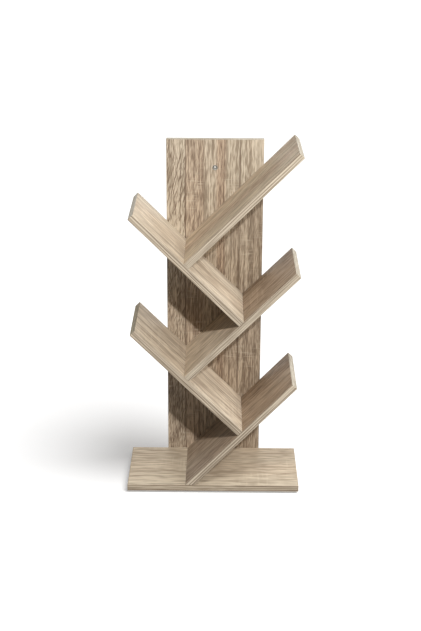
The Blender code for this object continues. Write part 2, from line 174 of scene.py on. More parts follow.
# %% Shader group: oak grain
def oak_grain_group():
    """The print's masks: tone, veins, flecks, saw marks and zones, with its sway and a height."""
    tree, given = new_group("oak_grain", "ShaderNodeTree", {
        "Place": "Vector", "Waviness": 1.0, "Fleck Share": 0.4, "Fleck Slant": 0.0, "Saw Marks": 0.5},
        ["Tone", "Veins", "Flecks", "Saw", "Zone", "Sway", "Height"])
    place = given["Place"]
    slow = math_node(tree, "SUBTRACT", noise(tree, place, (2.4, 9.0, 9.0), 1.0), 0.5)
    quick = math_node(tree, "SUBTRACT", noise(tree, place, (11.0, 26.0, 26.0), 1.0), 0.5)
    sway = product(tree, slow, 0.030, product(tree, quick, 0.004))
    sway = product(tree, sway, given["Waviness"])
    shift = add(tree, "ShaderNodeCombineXYZ", {"Y": sway, "Z": sway}).outputs[0]
    bent = add(tree, "ShaderNodeVectorMath", {0: place, 1: shift}, operation="ADD").outputs[0]
    fibres = noise(tree, bent, (42.0, 400.0, 400.0), 1.0, 0.5)
    lines = noise(tree, bent, (3.6, 350.0, 350.0), 1.0, 0.5)
    streaks = noise(tree, bent, (1.4, 62.0, 62.0), 1.0, 0.5)
    tone = product(tree, fibres, 0.52, product(tree, lines, 0.36))
    tone = product(tree, streaks, 0.12, tone)
    rings = math_node(tree, "ABSOLUTE", math_node(
        tree, "SUBTRACT", noise(tree, bent, (1.8, 105.0, 105.0), 0.0), 0.5))
    faded = ranged(tree, noise(tree, place, (9.0, 60.0, 60.0), 1.0), 0.38, 0.58, 0.2, 1.0)
    veins = product(tree, ranged(tree, rings, 0.02, 0.09, 1.0, 0.0), faded)
    along = add(tree, "ShaderNodeSeparateXYZ", {0: bent}).outputs["X"]
    lean = product(tree, along, given["Fleck Slant"])
    lean = add(tree, "ShaderNodeCombineXYZ", {"Y": lean}).outputs[0]
    slanted = add(tree, "ShaderNodeVectorMath", {0: bent, 1: lean}, operation="ADD").outputs[0]
    dashes = noise(tree, slanted, (46.0, 420.0, 420.0), 1.0)
    patches = noise(tree, place, (7.0, 38.0, 38.0), 1.0)
    start = product(tree, given["Fleck Share"], -0.30, 0.925)
    start = product(tree, patches, -0.25, start)
    flecks = ranged(tree, math_node(tree, "SUBTRACT", dashes, start), 0.0, 0.06)
    flecks = product(tree, flecks, ranged(tree, given["Fleck Share"], 0.0, 0.4, 0.0, 0.8))
    cross = noise(tree, place, (230.0, 20.0, 20.0), 1.0)
    sawn = noise(tree, place, (10.0, 15.0, 15.0), 1.0)
    saw = product(tree, ranged(tree, cross, 0.52, 0.68), ranged(tree, sawn, 0.50, 0.62))
    saw = product(tree, saw, given["Saw Marks"])
    height = product(tree, math_node(tree, "MAXIMUM", flecks, veins), -0.8, fibres)
    add(tree, "NodeGroupOutput", {
        "Tone": ranged(tree, tone, 0.415, 0.58), "Veins": veins, "Flecks": flecks, "Saw": saw,
        "Zone": ranged(tree, noise(tree, bent, (1.6, 26.0, 26.0), 1.0), 0.40, 0.60), "Sway": sway,
        "Height": product(tree, saw, 0.3, height)})
    return tree


oak_grain = oak_grain_group()
print("shader group:", oak_grain.name)


# %% [markdown]
# ## Staves of the panel
# The panel's print imitates staves that are glued side by side: pale ones, red-brown ones, and thin
# dark joints between them. A colour ramp over the width sets how brown each stave is, and another
# draws the joints. Both follow the sway of the grain, so that no joint is a ruled line. The panel's
# The panel's lower part, and its right part below the top shelf, are browner: partly print, and
# partly painted shade where the shelves shade the panel. Its upper right corner is paler, and the
# left stave has the most flecks.

# %% Shader group: staves
def ramp_over(tree, value, stops):
    """A grey ramp with (position, level) stops, and what it puts out."""
    ramp = add(tree, "ShaderNodeValToRGB", {"Fac": value})
    elements = ramp.color_ramp.elements
    while len(elements) > 1:
        elements.remove(elements[-1])
    for index, (position, level) in enumerate(stops):
        element = elements[0] if index == 0 else elements.new(position)
        element.position = position
        element.color = (level, level, level, 1.0)
    return ramp.outputs["Color"]


def staves_group():
    """How brown the print is, partly as painted shade low down and under the top shelf, and where
    the joints, the left stave and the pale corner are.
    """
    tree, given = new_group("oak_staves", "ShaderNodeTree", {
        "Place": "Vector", "Sway": 0.0, "Width": 0.224}, ["Brown", "Joint", "Left Stave", "Pale Corner"])
    parts = add(tree, "ShaderNodeSeparateXYZ", {0: given["Place"]}).outputs
    mirrored = product(tree, parts["Y"], -1.0)
    across = product(tree, given["Sway"], 0.35, mirrored)
    share = math_node(tree, "ADD", math_node(tree, "DIVIDE", across, given["Width"]), 0.5)
    brown = ramp_over(tree, share, (
        (0.0, 0.2), (0.18, 0.15), (0.205, 0.85), (0.37, 0.75), (0.40, 0.25), (0.50, 0.2), (0.54, 1.0),
        (0.60, 0.9), (0.63, 0.0), (0.74, 0.05), (0.77, 0.0), (0.82, 0.0), (0.84, 0.15), (0.88, 0.1),
        (0.90, 0.0), (1.0, 0.0)))
    # Browner low down and on the right below the top shelf: partly print, partly painted shade.
    brown_and_shade_low_right = product(tree, ranged(tree, share, 0.62, 0.70),
                        ranged(tree, parts["X"], 0.64, 0.70, 0.4, 0.0))
    low = ranged(tree, parts["X"], 0.42, 0.62, 0.6, 0.0)
    brown = math_node(tree, "MAXIMUM", math_node(tree, "MAXIMUM", brown, brown_and_shade_low_right), low)
    corner = product(tree, ranged(tree, share, 0.86, 0.93), ranged(tree, parts["X"], 0.64, 0.70))
    joint = ramp_over(tree, share, (
        (0.0, 0.0), (0.187, 0.0), (0.190, 1.0), (0.199, 1.0), (0.202, 0.0), (0.38, 0.0), (0.386, 0.6),
        (0.392, 0.0), (0.592, 0.0), (0.598, 0.7), (0.606, 0.0), (0.744, 0.0), (0.752, 0.9), (0.758, 0.9),
        (0.764, 0.0)))
    worn = noise(tree, given["Place"], (14.0, 30.0, 30.0), 2.0)
    add(tree, "NodeGroupOutput", {
        "Brown": brown, "Joint": product(tree, joint, ranged(tree, worn, 0.35, 0.6, 0.5, 1.0)),
        "Left Stave": ranged(tree, share, 0.19, 0.20, 1.0, 0.0), "Pale Corner": corner})
    return tree


oak_staves = staves_group()
print("shader group:", oak_staves.name)


# %% [markdown]
# ## Lines of the edge bands
# A band is only as wide as a board is thick, and its print shows about three thin dark lines along it.
# A sine over the band's width draws them evenly, and a noise makes each one fade in and out.

# %% Shader group: band lines
LINE_DISTANCE = 0.0051


def band_lines_group():
    """Where the dark lines run, from the place on the band and how far apart they are."""
    tree, given = new_group("oak_band_lines", "ShaderNodeTree", {
        "Place": "Vector", "Sway": 0.0, "Distance": LINE_DISTANCE}, ["Lines"])
    parts = add(tree, "ShaderNodeSeparateXYZ", {0: given["Place"]}).outputs
    across = math_node(tree, "ADD", math_node(tree, "ADD", parts["Y"], parts["Z"]), given["Sway"])
    turns = product(tree, math_node(tree, "DIVIDE", across, given["Distance"]), 2 * math.pi)
    line = ranged(tree, math_node(tree, "SINE", turns), 0.2, 0.8)
    faded = ranged(tree, noise(tree, given["Place"], (7.0, 210.0, 210.0), 1.0), 0.38, 0.56, 0.25, 1.0)
    add(tree, "NodeGroupOutput", {"Lines": product(tree, line, faded)})
    return tree


oak_band_lines = band_lines_group()
print("shader group:", oak_band_lines.name)


# %% [markdown]
# ## Edge wear and painted highlight
# Edges that hands and books touch are rubbed first, and edges catch the light. The mask's lighter
# colour is partly this wear and partly a painted highlight along the edges. The group compares the
# real face with one whose edges are rounded: where the two differ, an edge is near. A noise breaks
# the mask up, so that no edge is rubbed evenly.

# %% Shader group: edge wear and painted highlight
def edge_wear_and_highlight_group():
    """A mask of the edges that rubbing makes lighter and where a highlight is painted, from how far
    the rubbing reaches and how much of it there is.
    """
    tree, given = new_group("edge_wear", "ShaderNodeTree", {"Reach": 0.001, "Amount": 0.5}, ["Wear"])
    rounded = add(tree, "ShaderNodeBevel", {"Radius": given["Reach"]}, samples=4).outputs["Normal"]
    face = add(tree, "ShaderNodeNewGeometry").outputs["Normal"]
    same = add(tree, "ShaderNodeVectorMath", {0: rounded, 1: face}, operation="DOT_PRODUCT")
    place = add(tree, "ShaderNodeTexCoord").outputs["Object"]
    patches = ranged(tree, noise(tree, place, (55.0, 55.0, 55.0), 3.0), 0.35, 0.60, 0.25, 1.0)
    wear_and_highlight = product(tree, ranged(tree, same.outputs["Value"], 0.72, 0.97, 1.0, 0.0), patches)
    add(tree, "NodeGroupOutput", {"Wear": product(tree, wear_and_highlight, given["Amount"])})
    return tree


edge_wear = edge_wear_and_highlight_group()
print("shader group:", edge_wear.name)


def rubbed_and_lit_edges(tree, reach, amount):
    """The mask of one material's edges, lighter from rubbing and from a painted highlight."""
    wear_and_highlight = add(tree, "ShaderNodeGroup", {"Reach": reach, "Amount": amount}, node_tree=edge_wear)
    return wear_and_highlight.outputs["Wear"]


# %% [markdown]
# ## Board finishes
# Every finish uses the same grain group with its own colours. A pale and a brown set of colours share
# the face: the tone runs within each set, and the zones say which one shows. The flecks are darker
# than both. The foil is satin, so that its roughness moves a little with the print. The edge bands add
# their lines, and the panel its staves. The middle shelf is paler near its foot: partly print, and
# partly painted light, which stands for the light that reaches its face near the foot.

# %% Oak finishes
# The lighter colour of the edges: partly wear, partly a painted highlight along them.
WORN_AND_HIGHLIGHT = (0.74, 0.655, 0.52, 1.0)
FLECK = (0.13, 0.085, 0.055, 1.0)


def blend(tree, factor, first, second):
    """One colour mixed into another by a mask."""
    mix = add(tree, "ShaderNodeMix", {0: factor, 6: first, 7: second}, data_type="RGBA")
    return mix.outputs[2]


def tone_ramp(tree, tone, dark, light):
    """A colour between dark and light, as the tone says."""
    ramp = add(tree, "ShaderNodeValToRGB", {"Fac": tone})
    ramp.color_ramp.elements[0].color = (*dark, 1.0)
    ramp.color_ramp.elements[1].color = (*light, 1.0)
    return ramp.outputs["Color"]


def new_material(name):
    """A material, its node tree and its shader."""
    material = bpy.data.materials.new(name)
    material.use_nodes = True
    return material, material.node_tree, material.node_tree.nodes["Principled BSDF"]


def oak_finish(name, pale, brown, waviness, flecks, saw_marks, veins, size=(1.0, 1.0), wear_and_highlight=0.45,
               lines=0.0, staves=False, pale_and_lit_foot=False):
    """A material of printed oak foil that reads the board's own grain attribute. Pale and brown are
    pairs of a dark and a light colour. The shares say how much of each mark shows, and the size how
    fine the print is along the grain and across it."""
    material, tree, shader = new_material(name)
    place = add(tree, "ShaderNodeAttribute", attribute_name="grain").outputs["Vector"]
    grain = add(tree, "ShaderNodeGroup", {
        "Place": stretched(tree, place, (size[0], size[1], size[1])), "Waviness": waviness,
        "Saw Marks": saw_marks, "Fleck Share": flecks}, node_tree=oak_grain)
    tone, zone, dark = grain.outputs["Tone"], grain.outputs["Zone"], grain.outputs["Flecks"]
    if staves:
        stave = add(tree, "ShaderNodeGroup", {"Place": place, "Sway": grain.outputs["Sway"]},
                    node_tree=oak_staves)
        grain.inputs["Fleck Slant"].default_value = 0.22
        flecked = math_node(tree, "MAXIMUM", stave.outputs["Left Stave"],
                            ranged(tree, stave.outputs["Brown"], 0.0, 1.0, 0.15, 0.5))
        dark = product(tree, dark, flecked)
        zone = product(tree, math_node(tree, "SUBTRACT", zone, 0.5), 0.15, stave.outputs["Brown"])
        tone = product(tree, stave.outputs["Pale Corner"], 0.35, tone)
    # Paler near the foot: partly print, partly painted light where light reaches the face there.
    if pale_and_lit_foot:
        from_foot = add(tree, "ShaderNodeAttribute", attribute_name="from_foot").outputs["Fac"]
        zone = product(tree, math_node(tree, "SUBTRACT", zone, 0.5), 0.3,
                       ranged(tree, from_foot, 0.10, 0.20))
    colour = blend(tree, zone, tone_ramp(tree, tone, *pale), tone_ramp(tree, tone, *brown))
    colour = blend(tree, grain.outputs["Saw"], colour, (*pale[1], 1.0))
    colour = blend(tree, product(tree, grain.outputs["Veins"], veins), colour, FLECK)
    colour = blend(tree, dark, colour, FLECK)
    if lines:
        drawn = add(tree, "ShaderNodeGroup", {"Place": place, "Sway": grain.outputs["Sway"]},
                    node_tree=oak_band_lines).outputs["Lines"]
        colour = blend(tree, product(tree, drawn, lines), colour, FLECK)
    if staves:
        colour = blend(tree, stave.outputs["Joint"], colour, FLECK)
    # Edges get a lighter colour: partly wear, partly a painted highlight.
    worn = rubbed_and_lit_edges(tree, reach=0.0011, amount=wear_and_highlight)
    tree.links.new(blend(tree, worn, colour, WORN_AND_HIGHLIGHT), shader.inputs["Base Color"])
    gloss = ranged(tree, grain.outputs["Height"], 0.0, 1.0, 0.62, 0.46)
    tree.links.new(product(tree, worn, 0.12, gloss), shader.inputs["Roughness"])
    shader.inputs["Specular IOR Level"].default_value = 0.3
    bump = add(tree, "ShaderNodeBump", {"Height": grain.outputs["Height"], "Strength": 0.35,
                                        "Distance": 0.0003})
    tree.links.new(bump.outputs["Normal"], shader.inputs["Normal"])
    return material


SHELF_PRINT = {"waviness": 0.3, "flecks": 0.1, "saw_marks": 0.2, "veins": 0.2, "size": (0.7, 0.45)}
BAND_PRINT = {"waviness": 0.15, "flecks": 0.0, "saw_marks": 0.0, "veins": 0.3, "lines": 0.8}
END_PRINT = {"waviness": 0.2, "flecks": 0.0, "saw_marks": 0.0, "veins": 0.3}

panel_oak = oak_finish(
    "panel_oak", ((0.285, 0.23, 0.164), (0.61, 0.53, 0.412)),
    ((0.205, 0.142, 0.096), (0.50, 0.384, 0.276)),
    waviness=0.5, flecks=0.85, saw_marks=0.5, veins=0.3, wear_and_highlight=0.3, staves=True)
base_oak = oak_finish(
    "base_oak", ((0.44, 0.365, 0.27), (0.68, 0.59, 0.45)),
    ((0.375, 0.293, 0.207), (0.615, 0.51, 0.38)),
    waviness=0.1, flecks=0.15, saw_marks=0.5, veins=0.3, size=(0.6, 0.45))
# The left-leaning shelves have the pale finish. The right-leaning ones are browner, and darker from the
# top one down.
pale_shelf_oak = oak_finish(
    "pale_shelf_oak", ((0.49, 0.415, 0.32), (0.725, 0.64, 0.512)),
    ((0.435, 0.35, 0.26), (0.685, 0.585, 0.453)),
    waviness=0.2, flecks=0.1, saw_marks=0.3, veins=0.35, size=(0.7, 0.45))
brown_shelf_oak = oak_finish(
    "brown_shelf_oak", ((0.375, 0.303, 0.215), (0.625, 0.515, 0.37)),
    ((0.313, 0.225, 0.156), (0.56, 0.423, 0.299)), **SHELF_PRINT)
middle_shelf_oak = oak_finish(
    "middle_shelf_oak", ((0.36, 0.283, 0.20), (0.61, 0.495, 0.362)),
    ((0.215, 0.155, 0.108), (0.40, 0.302, 0.213)), **SHELF_PRINT, pale_and_lit_foot=True)
lowest_shelf_oak = oak_finish(
    "lowest_shelf_oak", ((0.26, 0.199, 0.138), (0.43, 0.335, 0.235)),
    ((0.21, 0.152, 0.104), (0.385, 0.285, 0.198)), **SHELF_PRINT)
band_oak = oak_finish(
    "band_oak", ((0.36, 0.303, 0.227), (0.645, 0.565, 0.44)),
    ((0.32, 0.265, 0.195), (0.59, 0.505, 0.39)), **BAND_PRINT, size=(0.3, 1.25))
base_band_oak = oak_finish(
    "base_band_oak", ((0.285, 0.228, 0.16), (0.525, 0.447, 0.338)),
    ((0.257, 0.20, 0.138), (0.475, 0.40, 0.295)), **BAND_PRINT, size=(0.6, 1.25))
end_oak = oak_finish(
    "end_oak", ((0.44, 0.395, 0.315), (0.60, 0.55, 0.45)),
    ((0.40, 0.355, 0.275), (0.57, 0.515, 0.42)), **END_PRINT)
dark_end_oak = oak_finish(
    "dark_end_oak", ((0.18, 0.148, 0.09), (0.324, 0.274, 0.17)),
    ((0.162, 0.126, 0.072), (0.297, 0.244, 0.146)), **END_PRINT)
print("oak finishes:", sum("oak" in material.name for material in bpy.data.materials))


# %% [markdown]
# ## Metal, beech and plastic
# The screws are zinc-plated, the cup is darker, the dowels are beech and the glides are black plastic.
# Each shows fine marks that a plain colour would miss, so that its colour, gloss and bump follow a
# noise at the scale of a small piece.

# %% Small finishes
def small_finish(name, colours, worn, roughness, metallic, scale, stretch):
    """A material whose colour and gloss vary with a noise at the scale of a small piece, with edges
    that rubbing and a painted highlight make lighter."""
    material, tree, shader = new_material(name)
    place = add(tree, "ShaderNodeTexCoord").outputs["Object"]
    marks = noise(tree, place, tuple(scale * part for part in stretch), 4.0, 0.6)
    colour = tone_ramp(tree, ranged(tree, marks, 0.3, 0.7), *colours)
    # Edges get the lighter colour: partly wear, partly a painted highlight.
    colour = blend(tree, rubbed_and_lit_edges(tree, reach=0.0003, amount=0.7), colour, (*worn, 1.0))
    tree.links.new(colour, shader.inputs["Base Color"])
    tree.links.new(ranged(tree, marks, 0.3, 0.7, *roughness), shader.inputs["Roughness"])
    shader.inputs["Metallic"].default_value = metallic
    bump = add(tree, "ShaderNodeBump", {"Height": marks, "Strength": 0.3, "Distance": 0.0001})
    tree.links.new(bump.outputs["Normal"], shader.inputs["Normal"])
    return material


finishes = {
    "zinc_steel": small_finish("zinc_plating", ((0.37, 0.365, 0.345), (0.52, 0.51, 0.485)),
                               (0.66, 0.65, 0.625), (0.65, 0.5), 1.0, 900.0, (1.0, 1.0, 0.3)),
    "dark_steel": small_finish("blackened_steel", ((0.19, 0.182, 0.165), (0.31, 0.30, 0.27)),
                               (0.50, 0.49, 0.46), (0.65, 0.5), 1.0, 800.0, (1.0, 0.4, 1.0)),
    "dowel_wood": small_finish("beech", ((0.55, 0.38, 0.22), (0.72, 0.54, 0.34)),
                               (0.78, 0.62, 0.42), (0.75, 0.6), 0.0, 500.0, (0.2, 1.0, 0.2)),
    "glide_plastic": small_finish("moulded_plastic", ((0.06, 0.055, 0.05), (0.11, 0.10, 0.09)),
                                  (0.22, 0.21, 0.20), (0.6, 0.45), 0.0, 1500.0, (1.0, 1.0, 1.0)),
}
print("small finishes:", ", ".join(finishes))


# %% [markdown]
# ## From a node tree to a solid
# Pieces come out of node trees or modifiers. Each is then turned into a plain mesh, so that nothing on
# it changes later, and stands for the measured solids that it replaces.

# %% Helpers for pieces
def new_object(name, data):
    """An object in the scene that holds this data."""
    thing = bpy.data.objects.new(name, data)
    bpy.context.scene.collection.objects.link(thing)
    return thing


def from_tree(name, tree, values):
    """A new object whose shape comes from a node tree with these named inputs."""
    piece = new_object(name, bpy.data.meshes.new(name))
    modifier = piece.modifiers.new(tree.name, "NODES")
    modifier.node_group = tree
    for socket in tree.interface.items_tree:
        if socket.item_type == "SOCKET" and socket.in_out == "INPUT" and socket.name in values:
            modifier[socket.identifier] = values[socket.name]
    return piece


def settle(piece):
    """Turns what an object's modifiers make into its own plain mesh."""
    depsgraph = bpy.context.evaluated_depsgraph_get()
    mesh = bpy.data.meshes.new_from_object(piece.evaluated_get(depsgraph))
    piece.modifiers.clear()
    piece.data = mesh
    mesh.name = piece.name
    return piece


def take_over(piece, nodes):
    """The piece rides with the object and stands for these solids."""
    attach(piece, "root")
    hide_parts(*nodes)


# %% [markdown]
# ## Turned pieces
# Screws, glides and the cup washer are turned on a lathe, so that a half outline that is spun round
# gives their shape. A spun outline of many steps stays round in close views. A socket is pressed into
# the screw head, and a cross into the head of the wall screw.

# %% Lathe
MERGED_WITHIN = 0.000003
SHARP_FROM = math.radians(32)
FINE_SIDES = 64


def turned(name, outline, sides=48, closed=False):
    """An object of (radius, height) points spun round the upright axis, from its top down."""
    points, rings = [], []
    for radius, height in outline:
        ring = range(len(points), len(points) + (sides if radius else 1))
        rings.append(list(ring) if radius else [ring[0]] * sides)
        for step in range(len(ring)):
            angle = 2 * math.pi * step / sides
            points.append((radius * math.cos(angle), radius * math.sin(angle), height))
    faces = []
    for upper, lower in zip(rings, rings[1:] + (rings[:1] if closed else [])):
        for step in range(sides):
            after = (step + 1) % sides
            face = list(dict.fromkeys((upper[step], lower[step], lower[after], upper[after])))
            if len(face) > 2:
                faces.append(face)
    mesh = bpy.data.meshes.new(name)
    mesh.from_pydata(points, [], faces)
    return new_object(name, mesh)


def carve(piece, cutters):
    """Takes the cutters' volume out of a piece, and merges the doubles that this leaves."""
    for cutter in cutters:
        carving = piece.modifiers.new(cutter.name, "BOOLEAN")
        carving.operation = "DIFFERENCE"
        carving.solver = "EXACT"
        carving.object = cutter
    if cutters:
        piece.modifiers.new("merged doubles", "WELD").merge_threshold = MERGED_WITHIN


def crisp(mesh):
    """Smooth round faces with sharp edges between them."""
    mesh.shade_smooth()
    mesh.set_sharp_from_angle(angle=SHARP_FROM)


def remove(*pieces):
    """Takes patterns and cutters away when they are no longer needed."""
    for piece in pieces:
        bpy.data.objects.remove(piece, do_unlink=True)


# %% [markdown]
# ## Sets of equal pieces
# A node tree puts a copy of a pattern on every spot, turns it the same way, and gives it its finish.
# The same tree drills, because a set of holes is a set of cutters.

# %% Geometry tree: set of equal pieces
def put_out(tree, geometry, given):
    """Makes copies real, gives the result its finish, and puts it out."""
    real = add(tree, "GeometryNodeRealizeInstances", {"Geometry": geometry})
    dressed = add(tree, "GeometryNodeSetMaterial", {
        "Geometry": real.outputs[0], "Material": given["Finish"]})
    add(tree, "NodeGroupOutput", {"Geometry": dressed.outputs[0]})


def set_tree():
    """Puts the pattern on every spot, turned the same way."""
    tree, given = new_group("fastener_set", "GeometryNodeTree", {
        "Spots": "Geometry", "Pattern": "Object", "Turn": "Vector", "Finish": "Material"},
        ["Geometry"], "Geometry")
    pattern = add(tree, "GeometryNodeObjectInfo", {"Object": given["Pattern"]},
                  transform_space="ORIGINAL")
    copies = add(tree, "GeometryNodeInstanceOnPoints", {
        "Points": given["Spots"], "Instance": pattern.outputs["Geometry"], "Rotation": given["Turn"]})
    put_out(tree, copies.outputs[0], given)
    return tree


fastener_set = set_tree()
print("geometry tree:", fastener_set.name)


def place_set(name, spots, pattern, turn, finish):
    """One object that holds a copy of the pattern on every spot."""
    piece = from_tree(name, fastener_set, {"Pattern": pattern, "Turn": turn, "Finish": finish})
    piece.data.from_pydata(spots, [], [])
    return settle(piece)


def fit_set(name, spots, pattern, turn, nodes, slot):
    """A set that has the finish of its slot, and stands for its solids."""
    take_over(place_set(name, spots, pattern, turn, finishes[slot]), nodes)


# %% [markdown]
# ## Screws and their holes
# Thirteen countersunk screws go through the panel from behind, ten into the shelves and three into the
# base, and two shorter ones go up through the base into the lowest shelf. A head sits just below the
# face in a countersunk hole, so that the boards below are drilled with the same outline.

# %% Screws
HEAD_RIM = 0.0004
HEAD_SINK = 0.0003
SOCKET_SHARE = 0.45
SOCKET_DEPTH = 0.0018
SOCKET_TURN = math.radians(3.75)
THREAD_PITCH = 0.0024
THREAD_ROOT = 0.68
THREAD_RUN_OUT = 4
REAR_HEAD, REAR_SHANK, REAR_LENGTH, REAR_THREAD, REAR_HOLE = 0.0045, 0.0025, 0.048, 0.030, 0.05
FOOT_HEAD, FOOT_SHANK, FOOT_THREAD_SHARE = 0.0035, 0.00175, 0.6
TO_REAR = (-math.pi / 2, 0.0, 0.0)
TO_FRONT = (math.pi / 2, 0.0, 0.0)
DOWNWARD = (math.pi, 0.0, 0.0)
UPRIGHT = (0.0, 0.0, 0.0)


def screw_pattern(name, head, shank, length, thread):
    """A countersunk wood screw with a hexagon socket, a coarse thread and a point."""
    neck = HEAD_RIM + head - shank
    outline = [(0, 0), (head - 0.0001, 0), (head, -0.0001), (head, -HEAD_RIM), (shank, -neck)]
    turns = int(thread / THREAD_PITCH)
    for turn in range(turns):
        start = length - thread + turn * THREAD_PITCH
        share = min(1.0, (turns - turn) / THREAD_RUN_OUT)
        outline.append((shank * share, -start))
        outline.append((shank * THREAD_ROOT * share, -start - THREAD_PITCH / 2))
    outline.append((0, -length))
    screw = turned(name, outline)
    radius = head * SOCKET_SHARE
    socket = turned(name + "_socket", [
        (0, SOCKET_DEPTH), (radius, SOCKET_DEPTH), (radius, -SOCKET_DEPTH),
        (0, -SOCKET_DEPTH - head / 5)], 6)
    socket.data.transform(Matrix.Rotation(SOCKET_TURN, 4, "Z"))
    carve(screw, [socket])
    settle(screw)
    crisp(screw.data)
    remove(socket)
    return screw


def hole_pattern(name, head, shank, length):
    """The cutter for such a screw, a gap wider all round."""
    wide, narrow = head + GAP, shank + GAP
    return turned(name, [(0, HEAD_SINK + GAP), (wide, HEAD_SINK + GAP), (wide, -HEAD_RIM),
                         (narrow, -HEAD_RIM - wide + narrow), (narrow, -length), (0, -length)])


def spots_of(names, direction):
    """Where the heads of these solids sit: the middle of each, at the end that the direction gives."""
    boxes = [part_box(name) for name in names]
    return [(low + high) / 2 + Vector(direction) * (high - low) / 2 for low, high in boxes]


rear_names = [f"shelf_{number}_rear_screw_{spot}" for number in range(1, 6) for spot in (1, 2)]
rear_names += [f"base_rear_screw_{spot}" for spot in (1, 2, 3)]
rear_spots = spots_of(rear_names, (0, 1, 0))
rear_pattern = screw_pattern("rear_screw_pattern", REAR_HEAD, REAR_SHANK, REAR_LENGTH, REAR_THREAD)
rear_hole = hole_pattern("rear_hole_pattern", REAR_HEAD, REAR_SHANK, REAR_HOLE)
fit_set("rear_screws", rear_spots, rear_pattern, TO_REAR, rear_names, "zinc_steel")
panel_holes = place_set("panel_holes", rear_spots, rear_hole, TO_REAR, None)

foot_names = ["shelf_1_foot_screw_1", "shelf_1_foot_screw_2"]
foot_spots = spots_of(foot_names, (0, 0, -1))
foot_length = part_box(foot_names[0])[1].z - foot_spots[0].z
foot_pattern = screw_pattern("foot_screw_pattern", FOOT_HEAD, FOOT_SHANK, foot_length,
                             foot_length * FOOT_THREAD_SHARE)
foot_hole = hole_pattern("foot_hole_pattern", FOOT_HEAD, FOOT_SHANK, foot_length + GAP)
fit_set("foot_screws", foot_spots, foot_pattern, DOWNWARD, foot_names, "zinc_steel")
base_holes = place_set("base_holes", foot_spots, foot_hole, DOWNWARD, None)
print("screws:", len(rear_names) + len(foot_names))

# %% [markdown]
# ## Wall fixing
# A small dark ring with a bright middle shows near the panel's top: a screw in a cup washer. The
# washer's lip lies on the face and its dish is sunk into the board. The screw's head is low and domed,
# with a cross recess.

# %% Cup washer and its screw
fixing_low, fixing_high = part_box("wall_fixing_cup")
fixing_spot = (fixing_low + fixing_high) / 2
fixing_spot.y = panel_low.y
cup_pattern = turned("cup_pattern", [
    (0.0053, 0.0010), (0.0056, 0.00098), (0.0059, 0.00085), (0.00612, 0.00065), (0.0062, 0.0004),
    (0.0062, 0.0003), (0.0046, 0.0003), (0.0046, -0.0026), (0.0020, -0.0026), (0.0020, -0.0020),
    (0.0041, 0.0003), (0.0044, 0.0006), (0.0049, 0.0009)], FINE_SIDES, closed=True)
crisp(cup_pattern.data)
fit_set("cup_washer", [fixing_spot], cup_pattern, TO_FRONT, ["wall_fixing_cup"], "dark_steel")

HEAD_TOP, TIP = (fixing_spot.y - corner.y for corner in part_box("wall_fixing_screw"))
screw_outline = [(0, HEAD_TOP), (0.0009, HEAD_TOP - 0.00008), (0.0017, HEAD_TOP - 0.0003),
                 (0.0024, HEAD_TOP - 0.00062), (0.0029, HEAD_TOP - 0.00095), (0.0029, HEAD_TOP - 0.0012),
                 (0.0015, HEAD_TOP - 0.0028)]
WALL_PITCH = 0.0009
for ridge in range(5):
    screw_outline += [(0.0015, -0.0032 - ridge * WALL_PITCH), (0.00105, -0.00365 - ridge * WALL_PITCH)]
screw_outline.append((0, TIP))
fixing_pattern = turned("fixing_pattern", screw_outline, FINE_SIDES)
crosses = []
NARROWED = Matrix.Diagonal((1.0, 0.28, 1.0, 1.0))
for quarter in (0, 1):
    cross = turned(f"cross_{quarter}", [
        (0, 0.0006), (0.0013, 0.0006), (0.0009, -0.0005), (0, -0.0007)], 4)
    turn = Matrix.Rotation(quarter * math.pi / 2, 4, "Z")
    cross.data.transform(Matrix.Translation((0, 0, HEAD_TOP)) @ turn @ NARROWED)
    crosses.append(cross)
carve(fixing_pattern, crosses)
settle(fixing_pattern)
crisp(fixing_pattern.data)
fit_set("wall_screw", [fixing_spot], fixing_pattern, TO_FRONT, ["wall_fixing_screw"], "zinc_steel")
fixing_hole = turned("fixing_hole_pattern", [
    (0, GAP), (0.0049, GAP), (0.0049, -0.0029), (0.0018, -0.0029), (0.0018, TIP - GAP), (0, TIP - GAP)])
wall_hole = place_set("wall_hole", [fixing_spot], fixing_hole, TO_FRONT, None)
print("wall screw:", round(HEAD_TOP - TIP, 4), "m long")

# %% [markdown]
# ## Glides
# Four nail-in glides keep the base off the floor. Each is a moulded disc with a rounded foot, and a pin
# that is knocked into the board.

# %% Glides
glide_names = [f"glide_{end}_{side}" for end in ("front", "rear") for side in ("left", "right")]
pin_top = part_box(glide_names[0])[1].z
disc_top = base_low.z - GAP
glide_pattern = turned("glide_pattern", [
    (0, pin_top), (0.0015, pin_top), (0.0015, disc_top), (0.0086, disc_top),
    (0.0089, disc_top - 0.0001), (0.009, disc_top - 0.0004), (0.009, 0.0012), (0.00888, 0.0007),
    (0.00855, 0.00028), (0.0080, 0.00006), (0.0076, 0), (0, 0)], FINE_SIDES)
crisp(glide_pattern.data)
glide_spots = [Vector((spot.x, spot.y, 0)) for spot in spots_of(glide_names, (0, 0, -1))]
fit_set("glides", glide_spots, glide_pattern, UPRIGHT, glide_names, "glide_plastic")
remove(rear_pattern, rear_hole, foot_pattern, foot_hole, cup_pattern, fixing_pattern, *crosses,
       fixing_hole, glide_pattern)
print("glides:", len(glide_names))


# %% [markdown]
# ## Planks
# A plank is sawn from a board to a length, and its foot is cut at the angle that it stands at. A node
# tree draws that blank from named sizes, so that one tree serves the panel, the base, the shelves and
# all their edge bands. A bevel then takes off the sharp edges.

